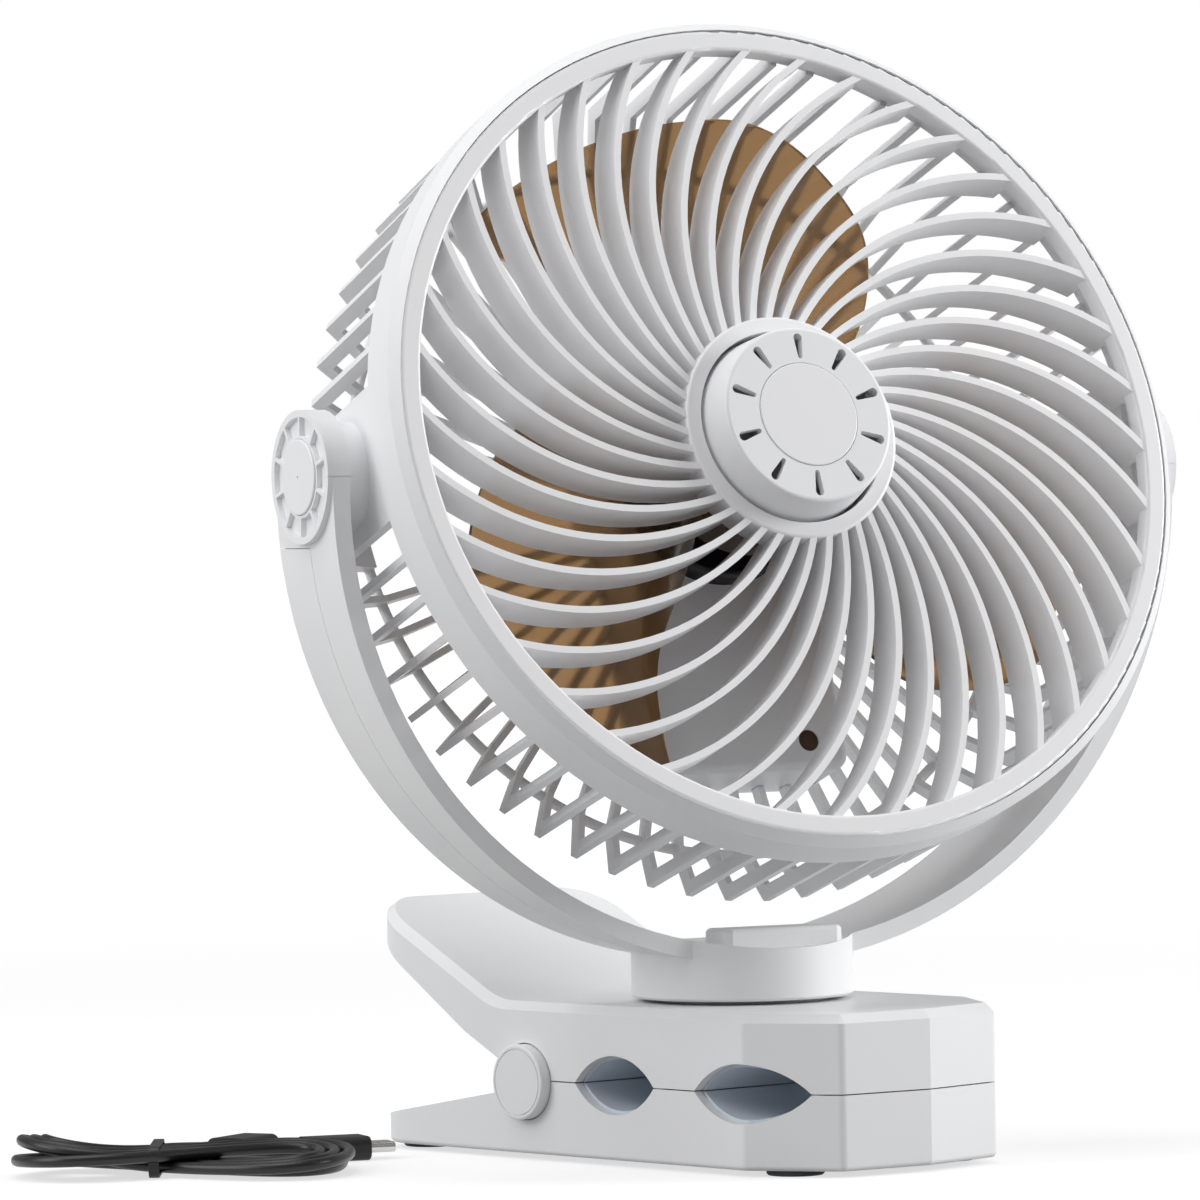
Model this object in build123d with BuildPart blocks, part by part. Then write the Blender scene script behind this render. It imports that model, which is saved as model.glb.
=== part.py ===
"""Portable camping fan: tilting fan head in a swivelling yoke on a spring clip base.

Frame: millimetres, +Z up.  The origin is on the floor under the swivel axis of the yoke.
The nose of the clip points along -Y, its handles along +Y.
"""

import math
import os

from build123d import *

os.makedirs("parts", exist_ok=True)

# ---------------------------------------------------------------- rest pose of the head
HEAD_YAW = -14.4        # swivel of the yoke about +Z, degrees
HEAD_TILT = 18.6        # the fan looks this far above the horizon, degrees

# ---------------------------------------------------------------- general fits
GAP = 0.3               # running gap between separate bodies
SEAT = 0.15             # assembly clearance round a piece inside its own body
SHAFT_FIT = 0.05        # radial clearance of a shaft in its bore
OVER = 1.0              # a cutter or a rooted piece runs this far past the face it meets
EDGE_FINE = 0.4         # roundings of edges, from the finest to the widest
EDGE_SMALL = 0.6
EDGE_MEDIUM = 1.2
EDGE_WIDE = 2.0
LINE_W = 0.3            # fine grooves moulded in caps and seams
LINE_DEEP = 0.3
SIDES = (-1, 1)

# ---------------------------------------------------------------- clip base
BASE_HALF_W = 38.4      # half width over the side faces
BASE_REAR = 99.0        # end of both handles behind the swivel axis
REAR_CORNER_R = 14.0
NOSE_SIDE = 41.2        # where the straight sides end and the nose facets start
NOSE_CORNER_X = 25.5
NOSE_CORNER = 62.5
NOSE_TIP = 66.2
NOSE_EDGE_R = 2.5
FOOT_H = 1.5            # the rubber feet lift the base this far
SPLIT_Z = 19.8          # plane between the two jaws
TOP_Z = 39.0            # top face of the upper jaw
BASE_WALL = 2.4
TOP_BEVEL = 2.2
UPWARD = 0.3            # a face whose normal rises more than this belongs to the top
LOWER_SLOPE_START = 28.0
LOWER_REAR_TOP = 7.6    # height of the lower handle at its rear end
LOWER_EDGE_R = 1.2
HANDLE_BEND = 49.5      # where the upper handle starts to rise
HANDLE_END_Z = 62.2     # highest point of the upper handle
HANDLE_THICK = 11.5     # upper handle, measured upright
HANDLE_BEND_R = 22.0
HANDLE_CREST = 3.0      # the upper handle is at its full height this far before its end
UNDER_BEND_Y = 61.0     # underside of the upper handle: bend behind the hinge
UNDER_BEND_Z = 31.0
UNDER_END = 7.0         # and where it reaches the handle's full thickness, before the end
GRIP_START = 54.0       # the covers of both handles start here

# rod channels across the jaws: centre along Y, half length and half height of the lens
ROD_CHANNELS = ((5.0, 13.4, 6.4), (-40.0, 14.9, 6.4))
PAD_T = 1.8             # rubber lining
PLATE_T = 2.0           # plastic plate behind the lining
LENS_STEP = 0.8         # the shell's lens edge stands back from the rubber
LINING_FRONT = 6.0      # the lining starts this far behind the nose corners
LINING_REAR = 4.0       # and ends this far before the lower jaw's slope

HINGE_Y = 37.8
HINGE_Z = 19.3
PIN_R = 2.0
CAP_R = 9.3
CAP_PROUD = 3.0
KNUCKLE_R = 7.6
KNUCKLE_LEN = 8.0
LOWER_KNUCKLE_X = 17.0  # inner face of the lower jaw's knuckles
CAP_LINE = 1.0          # groove in the face of the hinge caps, this far inside their edge
SPRING_R = 3.3          # mean radius of the coils round the pin
SPRING_WIRE_R = 0.75
SPRING_LEG_R = 0.82     # the straight legs are formed a little thicker
SPRING_HALF_L = 13.0
SPRING_TURNS = 13
BATTERY_REAR_Y = -18.0
BATTERY_FRONT_Y = -56.0
BATTERY_HALF_W = 31.0
BATTERY_FLOOR_Z = 30.6
BATTERY_CORNER_R = 4.0

FOOT_R = 7.0
FOOT_X = 25.0
FOOT_FRONT_Y = -45.0
FOOT_REAR_Y = 90.0
POST_R = 3.2
SCREW_HEAD_R = 2.6
SCREW_HEAD_T = 1.0
SCREW_R = 1.25
SCREW_TOP_Z = 7.0
POST_TOP_Z = 11.0

# ---------------------------------------------------------------- swivel
TURRET_R = 27.4
TURRET_Z = 40.0         # underside of the turret
TURRET_WALL = 2.6
SWIVEL_SEAT_R = 21.0    # raised bearing ring on top of the jaw
SPIGOT_R = 9.0
SPIGOT_BORE_R = 4.0     # way for the wires
RETAINER_R = 14.0
RETAINER_T = 1.6
SWIVEL_SCREW_RING = 6.5
SWIVEL_SCREWS = 3
SWIVEL_SCREW_R = 1.0
SWIVEL_SCREW_L = 7.0
TURRET_ROOM = 9.5       # height of the room inside the turret
TURRET_RIBS = 6
TURRET_RIB_START = 30.0
TURRET_RIB_T = 1.6

# ---------------------------------------------------------------- head (own frame:
# origin on the tilt axis, X sideways, Y up in its face, +Z out of the front grille)
FRONT = 32.3            # front plane of the head ahead of the tilt axis
RIM_R = 103.5           # outer radius of the front ring
RIM_IN_R = RIM_R - 5.2
RIM_T = 4.6
RIM_EDGE_R = 0.9
CASING_R = RIM_R + 2.5
CASING_BEVEL = 2.3
CASING_LEDGE_R = RIM_R - 2.1    # the front ring rests on this ledge
CASING_LEDGE_T = 1.6
CASING_IN_R = CASING_R - 2.8
CASING_BACK = 18.0      # rear edge of the solid band
RIB_START_R = CASING_R - 0.5    # outline of a cage rib: along the side, round the corner, in to the hub
RIB_CORNER_R = CASING_R - 1.8
RIB_CORNER = -21.0
RIB_BEND_R = 3.0
CAGE_RING_R = CASING_R - 16.0
CAGE_RING = -30.0
CAGE_RING_T = 2.6
CAGE_BACK = -33.0
CAGE_RIBS = 62
RIB_W = 1.7
RIB_DEEP = 3.6
SIDE_PANEL_ANGLE = 9.3  # half angle of the solid panel at each tilt pivot
VANE_COUNT = 40
VANE_START = 4.6        # angle where the first vane meets the rim, degrees
VANE_MID = 20.7         # degrees wound half way in
VANE_SWEEP = 43.0       # degrees wound at the hub
VANE_T = 1.7
VANE_SINK = 0.4         # the vanes stand back from the front plane
VANE_DEEP = 11.5
VANE_BITE = 1.5         # the vanes run this far into the rim and into the hub collar
HUB_R = 28.5            # outer radius of the hub collar
HUB_GROOVE_R = 24.6
HUB_DEEP = 9.0
HUB_FLOOR_T = 1.6
HUB_CAP_BASE_R = 24.45
HUB_CAP_TOP_R = 22.3
HUB_CAP_RISE = 9.0
HUB_CAP_WALL = 2.2
HUB_CAP_EDGE_R = 1.0
BADGE_R = 13.1
BADGE_T = 1.0
BADGE_PROUD = 0.2
BADGE_EDGE_R = 0.3
HUB_SLOTS = 10
HUB_SLOT_START = 16.0
HUB_SLOT_IN_R = 14.9
HUB_SLOT_OUT_R = 19.6
HUB_SLOT_WIDE = 1.15
HUB_SLOT_NARROW = 0.6

ROTOR_ROOM = 15.0       # between the blades' tips and the head's rim
ROTOR_R = RIM_R - ROTOR_ROOM
ROTOR_HUB_R = 22.5
ROTOR_FRONT = 21.5
ROTOR_BACK = 1.5
ROTOR_WALL = 2.0
BLADE_COUNT = 3
BLADE_T = 1.6
BLADE_FRONT = 17.5      # height of a blade at its front edge
BLADE_DROP = 28.5       # it falls away ever more steeply, by this much over the wrap
BLADE_LEAD = 40.0       # polar angle of the front edge at the hub
BLADE_WRAP = 92.0
BLADE_TIP_START = 88.0  # the blade has its full radius between these polar angles
BLADE_TIP_END = 133.0
BLADE_MARGIN = 5.0      # the curved sheet that a blade is cut from runs this many degrees past it
BLADE_SECTIONS = 8
BLADE_CORNER_R = 5.0
SHAFT_R = 1.6
NUT_R = 4.0
NUT_T = 2.2
NUT_SIDES = 6
SHAFT_IN = 3.0          # the shaft starts this far inside the motor's rear end

MOTOR_R = 25.0
MOTOR_FRONT = -8.0
MOTOR_BACK = -27.0
MOTOR_WALL = 1.5
BOX_HALF_W = 26.0       # grey motor and control housing
BOX_BOTTOM = -73.0
BOX_TOP_R = 30.0
BOX_FRONT = -13.5
BOX_WALL = 2.0
BOX_EDGE_R = 4.0
BACK_PLATE_T = 2.4
BOX_SCREW_X = 15.3
BOX_SCREW_Y = -65.8
BOX_SCREW_L = 9.0
BOARD_T = 1.2
BOARD_FRONT = -26.0
BOARD_W = 40.0
BOARD_H = 28.0
COIL_SIDE = 8.0         # charging coil and controller on the board
COIL_X = -12.0
COIL_DROP = 8.0         # both sit below the light
CHIP_W = 12.0
CHIP_H = 9.0
CHIP_X = 8.0
CHIP_DROP = 10.0
CHIP_T = 2.0
BUTTON_R = 6.0
BUTTON_FLANGE_R = 7.2
BUTTON_FLANGE_T = 1.0
BUTTON_RISE = 1.2
BUTTON_Y = -46.0
LED_R = 1.6
LED_Y = -35.0
USB_W = 8.94
USB_H = 3.26
USB_WALL = 0.3
USB_TONGUE_W = USB_W - 2.2
USB_TONGUE_T = 0.7
USB_Y = -57.0

# ---------------------------------------------------------------- yoke
YOKE_ROOM = 5.8         # between the head's band and the yoke
YOKE_T = 4.4
YOKE_RIN = CASING_R + YOKE_ROOM
YOKE_ROUT = YOKE_RIN + YOKE_T
YOKE_HALF_W = 16.1      # half the width of the band
YOKE_DROP = 4.5         # centre of the round of the yoke below the tilt axis
YOKE_FOOT_Z = 48.3      # lowest point of the round
PIVOT_Z = YOKE_FOOT_Z + YOKE_ROUT + YOKE_DROP
KNOB_R = 16.1
KNOB_IN = YOKE_RIN - 0.5    # inner and outer faces of the knobs from the middle plane
KNOB_OUT = YOKE_ROUT + 1.3
RECESS_R = 14.4
RECESS_DEEP = 1.3
SPOKE_COUNT = 10
SPOKE_T = 0.9
CAP_RING_R = 9.9
PIVOT_CAP_R = 9.1
PIVOT_CAP_T = 1.6
PIVOT_CAP_RISE = 0.5
KNOB_WALL = 2.7         # wall between the arm's inner face and the pivot screw's head
COVER_T = 1.2           # strip that closes the wire channel in the rear half of each arm
COVER_TOP_DROP = 17.0   # the strip starts this far below the tilt axis
COVER_END_X = 30.0      # and ends this far from the middle plane, near the turret
COVER_EDGE = -1.0       # front edge of the strip
CHANNEL_HALF_W = 3.0
CHANNEL_DEEP = 1.2
BUMPER_HALF_L = 16.3    # raised cap over the swivel screws
BUMPER_FRONT = 22.6
BUMPER_REAR = 12.0
BUMPER_TOP = 57.6
GATE_R = 0.4            # mark of the moulding gate in the middle of the cap

# ---------------------------------------------------------------- tilt pivots
BOSS_R = 13.0
BOSS_FACE = KNOB_IN - GAP
BOSS_ROOT = CASING_R - 8.0
PIVOT_SCREW_R = 3.0
PIVOT_HEAD_R = 5.2
PIVOT_HEAD_T = 1.6
PIVOT_SCREW_IN = 2.0    # the screw's tip clears the boss's root by this

# ---------------------------------------------------------------- charging cable
CABLE_R = 1.45
PLUG_L = 15.6
PLUG_W = 12.0
PLUG_H = 6.0
RELIEF_L = 7.0
RELIEF_R = 2.5
RELIEF_TIP_R = 1.9
PLUG_EDGE_R = 2.2
SHELL_L = 6.65
SHELL_W = 8.34
SHELL_H = 2.56
SHELL_WALL = 0.3
CABLE_X = -116.0
CABLE_Y = 76.0
CABLE_TURN = -41.4
HANK_HALF_L = 41.5
HANK_HALF_W = 21.0
HANK_WAIST = 12.0
HANK_LOBE = 0.58        # the hank is widest at this share of its half length
HANK_H = 6.2
TIE_X = -6.5
TIE_W = 2.6
TIE_T = 1.0
TIE_R = 2.5
LEAD_ROUND = 0.45       # share of a lead's run that its bend takes up
# end of each lead in its strain relief, heading there and where it leaves the hank, length of a run
LEADS = ((6.0, 24.0, 62.0, 40.0, 8.0), (22.0, 25.5, 20.0, 60.0, 13.0))

pieces = []


def finish(piece, name, place=None):
    """Label a finished piece, move it to its place on the fan and remember it."""
    if place is not None:
        piece.part.move(place)
    piece.part.label = name
    pieces.append(name)
    export_step(piece.part, f"parts/{name}.step")


YOKE_PLACE = Location((0, 0, 0), (0, 0, HEAD_YAW))
HEAD_PLACE = YOKE_PLACE * Location((0, 0, PIVOT_Z)) * Location((0, 0, 0), (90 - HEAD_TILT, 0, 0))


# ================================================================ clip base: shared outlines
def base_plan(z, inset=0.0, rear=BASE_REAR):
    """Plan of the base at height z, pulled in by inset."""
    half = [(0, -NOSE_TIP), (NOSE_CORNER_X, -NOSE_CORNER), (BASE_HALF_W, -NOSE_SIDE),
            (BASE_HALF_W, rear)]
    outline = half + [(-x, y) for x, y in reversed(half[1:])]
    with BuildSketch(Plane.XY.offset(z)) as plan:
        with BuildLine():
            Polyline(*outline, close=True)
        make_face()
        fillet(plan.vertices().group_by(Axis.Y)[-1], REAR_CORNER_R)
        fillet(plan.vertices().filter_by(lambda v: -NOSE_TIP + OVER < v.Y < 0), NOSE_EDGE_R)
        if inset:
            offset(amount=-inset, kind=Kind.INTERSECTION)
    return plan.sketch


def lower_profile():
    """Side view of the lower jaw in the YZ plane."""
    top = SPLIT_Z - GAP / 2
    with BuildSketch(Plane.YZ) as side:
        with BuildLine():
            Polyline((-NOSE_TIP - OVER, FOOT_H), (BASE_REAR + OVER, FOOT_H),
                     (BASE_REAR + OVER, LOWER_REAR_TOP), (LOWER_SLOPE_START, top),
                     (-NOSE_TIP - OVER, top), close=True)
        make_face()
    return side.sketch


def upper_profile(drop=0.0, bottom=SPLIT_Z + GAP / 2):
    """Side view of the upper jaw and its rising handle in the YZ plane.

    With a drop it is the room under the roof, open below, for hollowing the shell.
    """
    slope = (HANDLE_END_Z - TOP_Z) / (BASE_REAR - HANDLE_CREST - HANDLE_BEND)
    end_z = HANDLE_END_Z + (HANDLE_CREST + OVER) * slope
    under_z = HANDLE_END_Z - HANDLE_THICK
    under = [(HINGE_Y + OVER, bottom), (UNDER_BEND_Y, UNDER_BEND_Z), (BASE_REAR - UNDER_END, under_z),
             (BASE_REAR + OVER, under_z + (UNDER_END + OVER) * slope)]
    if drop:
        under = [(BASE_REAR + OVER, bottom)]
    with BuildSketch(Plane.YZ) as side:
        with BuildLine():
            Polyline((-NOSE_TIP - OVER, bottom), *under, (BASE_REAR + OVER, end_z - drop),
                     (HANDLE_BEND, TOP_Z - drop), (-NOSE_TIP - OVER, TOP_Z - drop), close=True)
        make_face()
        fillet(side.vertices().filter_by(lambda v: HINGE_Y + CAP_R < v.X < BASE_REAR - UNDER_END - OVER),
               HANDLE_BEND_R)
    return side.sketch


def channel_radius(half_l, half_h):
    """Radius of the arc with this half chord and rise."""
    return (half_l ** 2 + half_h ** 2) / (2 * half_h)


def channel_cutter(side, grow):
    """Rod channels as cylinders across the base: side is +1 for the upper jaw, -1 for the lower."""
    with BuildPart() as cutter:
        for y, half_l, half_h in ROD_CHANNELS:
            r = channel_radius(half_l, half_h)
            centre = SPLIT_Z + side * (half_h - r)
            with BuildSketch(Plane.YZ):
                with Locations((y, centre)):
                    Circle(r + grow)
            extrude(amount=BASE_HALF_W + OVER, both=True)
    return cutter.part


def jaw_lining(side, back, front, half_w):
    """Layer that follows a jaw's bite face, from depth back to depth front behind it."""
    z_front = SPLIT_Z + side * (GAP / 2 + front)
    z_back = SPLIT_Z + side * (GAP / 2 + back)
    y_front = -NOSE_CORNER + LINING_FRONT
    y_rear = LOWER_SLOPE_START - LINING_REAR
    deepest = max(half_h for _, _, half_h in ROD_CHANNELS) + back
    with BuildPart() as layer:
        with BuildSketch(Plane.YZ):
            with Locations(((y_front + y_rear) / 2, SPLIT_Z + side * deepest / 2)):
                Rectangle(y_rear - y_front, deepest)
        extrude(amount=half_w, both=True)
        with BuildSketch(Plane.YZ):
            with Locations(((y_front + y_rear) / 2, z_back + side * deepest / 2)):
                Rectangle(y_rear - y_front, deepest)
            for y, half_l, half_h in ROD_CHANNELS:
                r = channel_radius(half_l, half_h)
                with Locations((y, SPLIT_Z + side * (half_h - r))):
                    Circle(r + back, mode=Mode.SUBTRACT)
        extrude(amount=half_w, both=True, mode=Mode.SUBTRACT)
        with BuildSketch(Plane.YZ):
            with Locations(((y_front + y_rear) / 2, z_front - side * deepest / 2)):
                Rectangle(y_rear - y_front, deepest)
        extrude(amount=half_w, both=True, mode=Mode.SUBTRACT)
        add(channel_cutter(side, front), mode=Mode.SUBTRACT)
    return layer.part


def nose_limit(inset):
    """Tall prism of the base plan pulled in by inset, to trim inner pieces."""
    return extrude(base_plan(0, inset), amount=2 * HANDLE_END_Z, mode=Mode.PRIVATE)


def lower_top(y):
    """Height of the lower handle's top face at y."""
    fall = (SPLIT_Z - GAP / 2 - LOWER_REAR_TOP) / (BASE_REAR + OVER - LOWER_SLOPE_START)
    return SPLIT_Z - GAP / 2 - fall * (y - LOWER_SLOPE_START)


def foot_spots(flip=1):
    """Centres of the four feet, and of the screws under them."""
    return [(x, flip * y) for x in (-FOOT_X, FOOT_X) for y in (FOOT_FRONT_Y, FOOT_REAR_Y)]


def screw_posts(y, top):
    """Two posts from just above the floor up to top, bored for the base screws."""
    spots = [(-FOOT_X, y), (FOOT_X, y)]
    with BuildPart() as posts:
        with BuildSketch(Plane.XY.offset(LOWER_FLOOR + SEAT)):
            with Locations(*spots):
                Circle(POST_R)
        extrude(amount=top - LOWER_FLOOR - SEAT)
        with BuildSketch(Plane.XY.offset(LOWER_FLOOR)):
            with Locations(*spots):
                Circle(SCREW_R + SHAFT_FIT)
        extrude(amount=SCREW_TOP_Z + SEAT - LOWER_FLOOR, mode=Mode.SUBTRACT)
    return posts.part


LINING_HALF_W = BASE_HALF_W - BASE_WALL - SEAT
LOWER_FLOOR = FOOT_H + BASE_WALL
UPPER_ROOF = TOP_Z - BASE_WALL
UPPER_KNUCKLE_X = LOWER_KNUCKLE_X + KNUCKLE_LEN + GAP

# ================================================================ lower jaw
with BuildPart() as lower_shell:
    extrude(base_plan(0), amount=HANDLE_END_Z)
    extrude(lower_profile(), amount=BASE_HALF_W + OVER, both=True, mode=Mode.INTERSECT)
    fillet(lower_shell.faces().sort_by(Axis.Z)[0].edges(), LOWER_EDGE_R)
    extrude(base_plan(LOWER_FLOOR, BASE_WALL), amount=HANDLE_END_Z, mode=Mode.SUBTRACT)
    for side in SIDES:
        knuckle_x = side * (LOWER_KNUCKLE_X + KNUCKLE_LEN / 2)
        with BuildSketch(Plane.YZ.offset(knuckle_x)):
            with Locations((HINGE_Y, HINGE_Z)):
                Circle(KNUCKLE_R)
            with Locations((HINGE_Y, (HINGE_Z + FOOT_H + OVER) / 2)):
                Rectangle(2 * KNUCKLE_R, HINGE_Z - FOOT_H - OVER)
        extrude(amount=KNUCKLE_LEN / 2, both=True)
    with BuildSketch(Plane.YZ):
        with Locations((HINGE_Y, HINGE_Z)):
            Circle(PIN_R + SHAFT_FIT)
    extrude(amount=BASE_HALF_W, both=True, mode=Mode.SUBTRACT)
    for side in SIDES:
        with BuildSketch(Plane.YZ.offset(side * (BASE_HALF_W - BASE_WALL / 2))):
            with Locations((HINGE_Y, HINGE_Z)):
                Circle(CAP_R + GAP)
        extrude(amount=BASE_WALL, both=True, mode=Mode.SUBTRACT)
    add(channel_cutter(-1, LENS_STEP), mode=Mode.SUBTRACT)
    with Locations(Plane.XY.offset(FOOT_H).rotated((180, 0, 0))):
        with Locations(*foot_spots(-1)):
            CounterBoreHole(SCREW_R + SEAT, SCREW_HEAD_R + SEAT, SCREW_HEAD_T + SEAT)
finish(lower_shell, "lower_shell")

with BuildPart() as lower_plate:
    add(jaw_lining(-1, PAD_T + PLATE_T, PAD_T + SEAT, LINING_HALF_W))
    add(nose_limit(BASE_WALL + SEAT), mode=Mode.INTERSECT)
    add(screw_posts(FOOT_FRONT_Y, POST_TOP_Z))
finish(lower_plate, "lower_jaw_plate")

with BuildPart() as lower_pad:
    add(jaw_lining(-1, PAD_T, 0.0, LINING_HALF_W))
    add(nose_limit(BASE_WALL + SEAT), mode=Mode.INTERSECT)
finish(lower_pad, "lower_rubber_pad")

with BuildPart() as lower_grip_cover:
    with BuildSketch(Plane.YZ):
        with BuildLine():
            Polyline((GRIP_START, lower_top(GRIP_START)), (BASE_REAR, lower_top(BASE_REAR)),
                     (BASE_REAR, lower_top(BASE_REAR) - PLATE_T),
                     (GRIP_START, lower_top(GRIP_START) - PLATE_T), close=True)
        make_face()
    extrude(amount=BASE_HALF_W, both=True)
    add(nose_limit(BASE_WALL + SEAT), mode=Mode.INTERSECT)
    add(screw_posts(FOOT_REAR_Y, lower_top(FOOT_REAR_Y) - PLATE_T / 2))
finish(lower_grip_cover, "lower_grip_cover")

with BuildPart() as rubber_feet:
    with BuildSketch(Plane.XY):
        with Locations(*foot_spots()):
            Circle(FOOT_R)
    extrude(amount=FOOT_H)
    chamfer(rubber_feet.faces().group_by(Axis.Z)[0].edges(), EDGE_FINE)
finish(rubber_feet, "rubber_feet")

with BuildPart() as base_screws:
    with BuildSketch(Plane.XY.offset(FOOT_H + SEAT)):
        with Locations(*foot_spots()):
            Circle(SCREW_HEAD_R)
    extrude(amount=SCREW_HEAD_T)
    with BuildSketch(Plane.XY.offset(FOOT_H + SEAT)):
        with Locations(*foot_spots()):
            Circle(SCREW_R)
    extrude(amount=SCREW_TOP_Z - FOOT_H - SEAT)
finish(base_screws, "base_screws")

with BuildPart() as hinge_pin:
    with BuildSketch(Plane.YZ):
        with Locations((HINGE_Y, HINGE_Z)):
            Circle(PIN_R)
    extrude(amount=BASE_HALF_W, both=True)
finish(hinge_pin, "hinge_pin")

for side, name in ((-1, "hinge_cap_right"), (1, "hinge_cap_left")):
    with BuildPart() as hinge_cap:
        with BuildSketch(Plane.YZ.offset(side * (BASE_HALF_W - BASE_WALL + SEAT))):
            with Locations((HINGE_Y, HINGE_Z)):
                Circle(CAP_R)
        extrude(amount=side * (BASE_WALL - SEAT + CAP_PROUD))
        outer = hinge_cap.faces().sort_by(Axis.X)[-1 if side > 0 else 0]
        fillet(outer.edges(), EDGE_SMALL)
        with BuildSketch(Plane.YZ.offset(side * (BASE_HALF_W + CAP_PROUD - LINE_DEEP))):
            with Locations((HINGE_Y, HINGE_Z)):
                Circle(CAP_R - CAP_LINE)
                Circle(CAP_R - CAP_LINE - LINE_W, mode=Mode.SUBTRACT)
        extrude(amount=side * 2 * LINE_DEEP, mode=Mode.SUBTRACT)
        with BuildSketch(Plane.YZ.offset(side * (BASE_HALF_W - BASE_WALL))):
            with Locations((HINGE_Y, HINGE_Z)):
                Circle(PIN_R + SHAFT_FIT)
        extrude(amount=side * (BASE_WALL + SEAT), mode=Mode.SUBTRACT)
    finish(hinge_cap, name)

SPRING_PLACE = Plane((-SPRING_HALF_L, HINGE_Y, HINGE_Z), x_dir=(0, 1, 0), z_dir=(1, 0, 0)).location
with BuildPart() as torsion_spring:
    with BuildLine():
        coil = Helix(2 * SPRING_HALF_L / SPRING_TURNS, 2 * SPRING_HALF_L, SPRING_R)
    with BuildSketch(Plane(coil @ 0, z_dir=coil % 0)):
        Circle(SPRING_WIRE_R)
    sweep(is_frenet=True)
    for foot, way, leg in ((coil @ 0, -1, HINGE_Z - LOWER_FLOOR - GAP),
                           (coil @ 1, 1, UPPER_ROOF - GAP - HINGE_Z)):
        with BuildSketch(Plane(foot, z_dir=(0, way, 0))):
            Circle(SPRING_LEG_R)
        extrude(amount=leg)
    with Locations(coil @ 0, coil @ 1):
        Sphere(SPRING_LEG_R)
finish(torsion_spring, "torsion_spring", SPRING_PLACE)

# ================================================================ upper jaw
with BuildPart() as upper_shell:
    extrude(base_plan(0), amount=2 * HANDLE_END_Z)
    extrude(upper_profile(), amount=BASE_HALF_W + OVER, both=True, mode=Mode.INTERSECT)
    top_edges = upper_shell.faces().filter_by(lambda f: f.normal_at().Z > UPWARD).edges()
    rim_edges = [e for e in top_edges if len([1 for o in top_edges if o.is_same(e)]) == 1]
    chamfer(rim_edges, TOP_BEVEL)
    with BuildPart(mode=Mode.PRIVATE) as room:
        extrude(base_plan(0, BASE_WALL), amount=2 * HANDLE_END_Z)
        extrude(upper_profile(BASE_WALL, 0), amount=BASE_HALF_W, both=True, mode=Mode.INTERSECT)
    add(room.part, mode=Mode.SUBTRACT)
    for side in SIDES:
        knuckle_x = side * (UPPER_KNUCKLE_X + KNUCKLE_LEN / 2)
        with BuildSketch(Plane.YZ.offset(knuckle_x)):
            with Locations((HINGE_Y, HINGE_Z)):
                Circle(KNUCKLE_R)
            with Locations((HINGE_Y, (HINGE_Z + TOP_Z - OVER) / 2)):
                Rectangle(2 * KNUCKLE_R, TOP_Z - OVER - HINGE_Z)
        extrude(amount=KNUCKLE_LEN / 2, both=True)
    with BuildSketch(Plane.YZ):
        with Locations((HINGE_Y, HINGE_Z)):
            Circle(PIN_R + SHAFT_FIT)
    extrude(amount=BASE_HALF_W, both=True, mode=Mode.SUBTRACT)
    for side in SIDES:
        with BuildSketch(Plane.YZ.offset(side * (BASE_HALF_W - BASE_WALL / 2))):
            with Locations((HINGE_Y, HINGE_Z)):
                Circle(CAP_R + GAP)
        extrude(amount=BASE_WALL, both=True, mode=Mode.SUBTRACT)
    add(channel_cutter(1, LENS_STEP), mode=Mode.SUBTRACT)
    with BuildSketch(Plane.XY.offset(TOP_Z - OVER)):
        Circle(SWIVEL_SEAT_R)
    extrude(amount=TURRET_Z - GAP - TOP_Z + OVER)
    with BuildSketch(Plane.XY.offset(TOP_Z - 2 * BASE_WALL)):
        Circle(SPIGOT_R + SHAFT_FIT)
    extrude(amount=4 * BASE_WALL, mode=Mode.SUBTRACT)
finish(upper_shell, "upper_shell")

with BuildPart() as upper_plate:
    add(jaw_lining(1, PAD_T + PLATE_T, PAD_T + SEAT, LINING_HALF_W))
    add(nose_limit(BASE_WALL + SEAT), mode=Mode.INTERSECT)
finish(upper_plate, "upper_jaw_plate")

with BuildPart() as upper_pad:
    add(jaw_lining(1, PAD_T, 0.0, LINING_HALF_W))
    add(nose_limit(BASE_WALL + SEAT), mode=Mode.INTERSECT)
finish(upper_pad, "upper_rubber_pad")

with BuildPart() as upper_grip_cover:
    extrude(upper_profile(), amount=BASE_HALF_W, both=True)
    add(upper_grip_cover.part.moved(Location((0, 0, PLATE_T))), mode=Mode.SUBTRACT)
    with Locations((0, (GRIP_START + BASE_REAR) / 2, HANDLE_END_Z / 2)):
        Box(2 * BASE_HALF_W, BASE_REAR - GRIP_START, 2 * HANDLE_END_Z, mode=Mode.INTERSECT)
    add(nose_limit(BASE_WALL + SEAT), mode=Mode.INTERSECT)
finish(upper_grip_cover, "upper_grip_cover")

with BuildPart() as battery_pack:
    with Locations((0, (BATTERY_REAR_Y + BATTERY_FRONT_Y) / 2, (BATTERY_FLOOR_Z + UPPER_ROOF - GAP) / 2)):
        Box(2 * BATTERY_HALF_W, BATTERY_REAR_Y - BATTERY_FRONT_Y, UPPER_ROOF - GAP - BATTERY_FLOOR_Z)
    fillet(battery_pack.edges().filter_by(Axis.Z), BATTERY_CORNER_R)
    fillet(battery_pack.edges().filter_by(Axis.Z, reverse=True), EDGE_MEDIUM)
    add(nose_limit(BASE_WALL + GAP), mode=Mode.INTERSECT)
finish(battery_pack, "battery_pack")

# ================================================================ yoke (own frame: not yet swivelled)
ARC_Z = PIVOT_Z - YOKE_DROP
SPIGOT_END = UPPER_ROOF - GAP

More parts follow.
